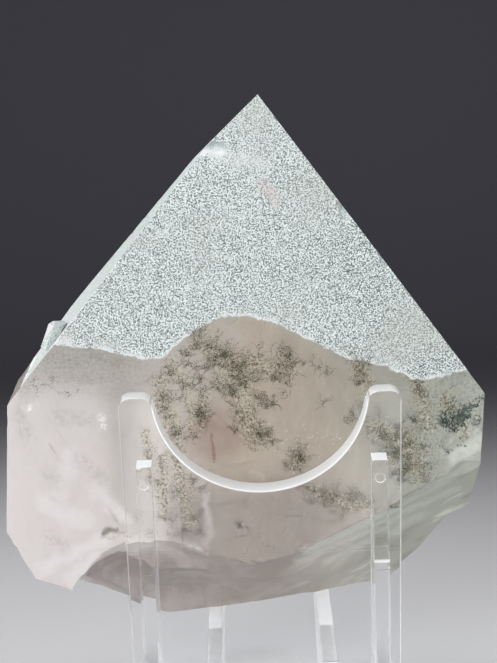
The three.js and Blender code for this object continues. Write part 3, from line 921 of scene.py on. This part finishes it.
THREADS = [
    ("moss_tufts", MOSS, olive_moss,
     dict(share=1.9, length=(0.32, 0.7), width=(0.13, 0.27), links=(2, 6), seed=11, new_root=0.16)),
    ("cream_grains", MOSS[:CREAM_STROKES], cream_grain,
     dict(share=0.5, length=(0.22, 0.5), width=(0.16, 0.4), links=(1, 3), seed=12, new_root=0.25)),
    ("corner_moss", CORNER_MOSS, deep_green_moss,
     dict(share=0.6, length=(0.4, 1), width=(0.25, 0.6), links=(1, 4), seed=13, new_root=0.15)),
    ("pale_fibres", FIBRES, pale_fibre,
     dict(share=1, length=(0.8, 1.9), width=(0.1, 0.18), links=(1, 1), seed=14, heading=55)),
]
for name, strokes, finish, rule in THREADS:
    make_piece(name, scatter(strokes, **rule), finish)
make_piece("face_cracks", crack_form(CRACKS, 15), crack_shadow)

# %% [markdown]
# ## The stand's form
# The easel is one moulding in clear plastic: a plate with a half-round notch, two ribs at the rear and
# two arms at the front. Each is drawn as an outline and thickened, then all are joined, cut off level
# with the table, and every edge is rounded a little, because a clear thing shows itself by its edges.

# %% Draw the outlines of the stand
EAR_DROP = 0.8
EAR_CORNER = 2.1
NOTCH_RADIUS = 19
NOTCH_DEPTH = 19.2
RIB_WIDTH = 2.75
RIB_INSET = 19.45
ARM_SPACING = 22
ARM_SHIFT = 1
ARM_WIDTH = 2.8
ARM_DROP = 56
ARM_FALL = 0.052
ARM_LENGTH = 48
ARM_TIP_LENGTH = 3
ARM_TIP_HEIGHT = 5
ARM_TIP_OUTLINE = [(0.8, -0.6), (1, 0.7), (0.7, 1), (0.3, 1), (0, 0.7), (0, 0)]
FOOT_LENGTH = 44
JOIN_DEPTH = 1
PLATE_FOOT_DOWN = ORIGIN_HEIGHT / math.cos(LEAN)
CORNER_STEPS = 10
NOTCH_STEPS = 72


def arc(centre, radius, start, stop, steps):
    """Points on an arc, angles in degrees."""
    angles = [math.radians(start + (stop - start) * step / steps) for step in range(steps + 1)]
    return [(centre[0] + radius * math.cos(a), centre[1] + radius * math.sin(a)) for a in angles]


def plate_outline():
    """The plate as across and up, going round from the lower left."""
    half = PLATE_WIDTH / 2
    ear_height = -EAR_DROP - EAR_CORNER
    notch_middle = (0, NOTCH_RADIUS - NOTCH_DEPTH)
    notch_start = math.degrees(math.asin((notch_middle[1] - ear_height) / NOTCH_RADIUS))
    outer = half - EAR_CORNER
    inner = NOTCH_RADIUS + EAR_CORNER
    points = [(-half, -PLATE_FOOT_DOWN - JOIN_DEPTH), (half, -PLATE_FOOT_DOWN - JOIN_DEPTH)]
    points += arc((outer, ear_height), EAR_CORNER, 0, 90, CORNER_STEPS)
    points += arc((inner, ear_height), EAR_CORNER, 90, 180, CORNER_STEPS)
    points += arc(notch_middle, NOTCH_RADIUS, -notch_start, notch_start - 180, NOTCH_STEPS)
    points += arc((-inner, ear_height), EAR_CORNER, 0, 90, CORNER_STEPS)
    points += arc((-outer, ear_height), EAR_CORNER, 90, 180, CORNER_STEPS)
    return points


def arm_drop(front):
    return ARM_DROP + ARM_FALL * front


def rib_outline():
    forward, height = level(-RIB_TOP_REACH, RIB_TOP_DROP)
    foot = level(JOIN_DEPTH, PLATE_FOOT_DOWN)[0]
    return [level(JOIN_DEPTH, RIB_TOP_DROP), (forward, height), (forward - RIB_FLARE, 0), (foot, 0)]


def arm_outline():
    root = PLATE_THICKNESS - JOIN_DEPTH
    tips = [level(ARM_LENGTH + ahead * ARM_TIP_LENGTH, arm_drop(ARM_LENGTH) - above * ARM_TIP_HEIGHT)
            for ahead, above in ARM_TIP_OUTLINE]
    return [level(root, arm_drop(root)), (level(root, PLATE_FOOT_DOWN)[0], 0), (FOOT_LENGTH, 0), *tips]


# %% Thicken the outlines and join them
def thickened(near, far):
    """A closed form between two like rings of points."""
    form = bmesh.new()
    near_ring = [form.verts.new(point) for point in near]
    far_ring = [form.verts.new(point) for point in far]
    form.faces.new(near_ring)
    form.faces.new(reversed(far_ring))
    for index, corner in enumerate(near_ring):
        follower = (index + 1) % len(near_ring)
        form.faces.new([near_ring[follower], corner, far_ring[index], far_ring[follower]])
    bmesh.ops.recalc_face_normals(form, faces=form.faces)
    return form


def as_object(name, form):
    mesh = bpy.data.meshes.new(name)
    form.to_mesh(mesh)
    form.free()
    return placed(name, mesh)


def with_modifiers(body):
    """The mesh of an object as its modifiers leave it."""
    bpy.context.view_layer.update()
    return bpy.data.meshes.new_from_object(body.evaluated_get(bpy.context.evaluated_depsgraph_get()))


def combine(body, tool, operation):
    """Joins a tool to a body or cuts it out, and removes the tool."""
    step = body.modifiers.new("step", "BOOLEAN")
    step.operation = operation
    step.solver = "EXACT"
    step.object = tool
    merged = with_modifiers(body)
    body.modifiers.clear()
    body.data = merged
    bpy.data.objects.remove(tool)


def web(outline, across, width):
    sides = [[level_point(across + side * width / 2, *point) for point in outline] for side in (-1, 1)]
    return thickened(*sides)


outline = plate_outline()
stand = as_object("clear_stand", thickened(
    [on_plate(a, 0, -u) for a, u in outline], [on_plate(a, PLATE_THICKNESS, -u) for a, u in outline]))
for side in (-1, 1):
    rib = web(rib_outline(), side * (RIB_INSET + RIB_WIDTH / 2), RIB_WIDTH)
    combine(stand, as_object("rib", rib), "UNION")
    arm = web(arm_outline(), ARM_SHIFT + side * ARM_SPACING / 2, ARM_WIDTH)
    combine(stand, as_object("arm", arm), "UNION")

# %% [markdown]
# Where pins pushed the moulding out of its mould they left shallow round marks near the ribs' tops.
# They are cut as thin discs. Then the edges are rounded with a Bevel modifier, which is applied here.

# %% Cut the pin marks, level the foot and round the edges
PIN_DOWN = 15.6
PIN_RADIUS = 0.95
PIN_DEPTH = 0.15
DISC_STEPS = 40
SAME_PLANE = math.radians(0.5)
ROUNDING = 0.32
ROUNDING_STEPS = 3
ROUNDED_FROM = math.radians(35)
FLAT_AREA = 12 * MM * MM


def pin_disc(centre):
    """A thin disc that faces the rear."""
    form = bmesh.new()
    turn = Vector((0, -1, 0)).to_track_quat("Z", "Y").to_matrix().to_4x4()
    bmesh.ops.create_cone(
        form, cap_ends=True, segments=DISC_STEPS, radius1=PIN_RADIUS * MM, radius2=PIN_RADIUS * MM,
        depth=2 * PIN_DEPTH * MM, matrix=Matrix.Translation(centre) @ turn)
    return form


for side in (-1, 1):
    forward, height = level(-RIB_TOP_REACH, PIN_DOWN)
    rear = rib_crown - RIB_FLARE * (1 - height / level(-RIB_TOP_REACH, RIB_TOP_DROP)[1])
    centre = level_point(side * (RIB_INSET + RIB_WIDTH / 2), rear, height)
    combine(stand, as_object("pin", pin_disc(centre)), "DIFFERENCE")

moulding = bmesh.new()
moulding.from_mesh(stand.data)
bmesh.ops.bisect_plane(
    moulding, geom=moulding.verts[:] + moulding.edges[:] + moulding.faces[:], dist=1e-7,
    plane_co=(0, 0, 0), plane_no=(0, 0, -1), clear_outer=True)
rims = [edge for edge in moulding.edges if edge.is_boundary]
bmesh.ops.holes_fill(moulding, edges=rims, sides=0)
bmesh.ops.dissolve_limit(moulding, angle_limit=SAME_PLANE, verts=moulding.verts, edges=moulding.edges)
moulding.to_mesh(stand.data)
moulding.free()
rounding = stand.modifiers.new("rounding", "BEVEL")
rounding.width = ROUNDING * MM
rounding.segments = ROUNDING_STEPS
rounding.limit_method = "ANGLE"
rounding.angle_limit = ROUNDED_FROM
moulding = bmesh.new()
moulding.from_mesh(with_modifiers(stand))
bpy.data.objects.remove(stand)
open_edges = sum(not edge.is_manifold for edge in moulding.edges)
print("stand:", len(moulding.faces), "faces,", open_edges, "open edges")

# %% [markdown]
# ## The stand's finish
# Clear plastic is glass with a lower index and a faint haze. Light from the lamps has to reach the
# stone behind it, so for shadow rays it is simply transparent. The faces are polished and the thin
# edges are not: the notch, the ears' tops, the ribs' tops and their sides are a little frosted, so they
# catch the light as white bands. The arms are frosted by the stones that have slid along them, and the
# plate carries the fine scratches of handling.

# %% Mix the clear plastic
PLASTIC_IOR = 1.5
FROST = (0.97, 0.975, 0.98)
SINK_LINES = (31.6, 50.3)
RIB_LINES = (30.2, 49.4)
PIN_RING = 0.8


def plastic_finish():
    finish = Finish("clear_moulded_plastic")
    place = finish.plate_place()
    across, front, up = finish.node("SeparateXYZ", {}, {0: place}, output=(0, 1, 2))
    scratch = finish.grain(place, 0.5, 2, stretch=(1, 1, 0.04)).rise(0.66, 0.72)
    slant = finish.grain(place, 0.6, 2, stretch=(0.05, 1, 0.6)).rise(0.7, 0.74)
    height = scratch + slant
    for drop in SINK_LINES:
        height = height + (up + drop).size().rise(0.22, 0.05) * 4
    normal = finish.relief(height, 0.004)

    facing = finish.node("NewGeometry", output="True Normal")
    sideways, _, upward = finish.node("SeparateXYZ", {}, {0: facing}, output=(0, 1, 2))
    seen = finish.vector("MULTIPLY", place, SQUARE_ON)
    from_notch = finish.vector("DISTANCE", seen, (0, 0, NOTCH_RADIUS - NOTCH_DEPTH), 1)
    cap = upward.rise(0.35, 0.75) * front.rise(PLATE_THICKNESS + 0.6, PLATE_THICKNESS + 0.3)
    on_edge = from_notch.rise(NOTCH_RADIUS + 0.45, NOTCH_RADIUS + 0.2).most(cap) * 0.9
    on_side = sideways.size().rise(0.75, 0.95)
    rib_side = on_side * front.rise(-0.05, -0.3) * (0.10 + up.rise(-30, -44) * 0.08)
    plate_side = on_side * across.size().rise(24.3, 24.6) * 0.6
    rib_rear = front.rise(-2.6, -3)
    upper_mark, lower_mark = [(up + drop).size().rise(0.4, 0.15) for drop in RIB_LINES]
    rib_marks = across.rise(18, 19) * rib_rear * 0.6 * upper_mark.most(lower_mark)
    pin = finish.node("CombineXYZ", {}, {0: across.size(), 2: up})
    pin_middle = (RIB_INSET + RIB_WIDTH / 2, 0, -PIN_DOWN)
    from_pin = finish.vector("DISTANCE", pin, pin_middle, 1)
    pin_ring = (from_pin - PIN_RING).size().rise(0.16, 0.06) * rib_rear * 0.3
    on_arm = front.rise(PLATE_THICKNESS + 0.2, PLATE_THICKNESS + 1.2)
    arm_frost = on_arm * (0.08 + finish.grain(place, 2, 3) * 0.14 + upward.rise(0.5, 0.9) * 0.35)
    frost = on_edge.most(rib_side).most(plate_side).most(rib_marks).most(pin_ring).most(arm_frost)

    clear = finish.node("BsdfPrincipled", {}, {
        "Base Color": (0.985, 0.99, 0.995), "Roughness": 0.02, "IOR": PLASTIC_IOR,
        "Transmission Weight": 1, "Normal": normal})
    frosted = finish.node("BsdfPrincipled", {}, {
        "Base Color": FROST, "Roughness": 0.35, "IOR": PLASTIC_IOR, "Normal": normal})
    frosted_glow = finish.node("BsdfTranslucent", {}, {"Color": FROST})
    plastic = finish.layer(frost, clear, finish.layer(0.2, frosted, frosted_glow))
    through = finish.node("BsdfTransparent", {}, {"Color": (0.93, 0.94, 0.95)})
    lamp_ray = finish.node("LightPath", {}, output="Is Shadow Ray")
    return finish.done(finish.layer(lamp_ray, plastic, through))


moulding.normal_update()
mark_sharp(moulding, ROUNDED_FROM, FLAT_AREA)
make_piece("clear_stand", moulding, plastic_finish(), node="display_stand")
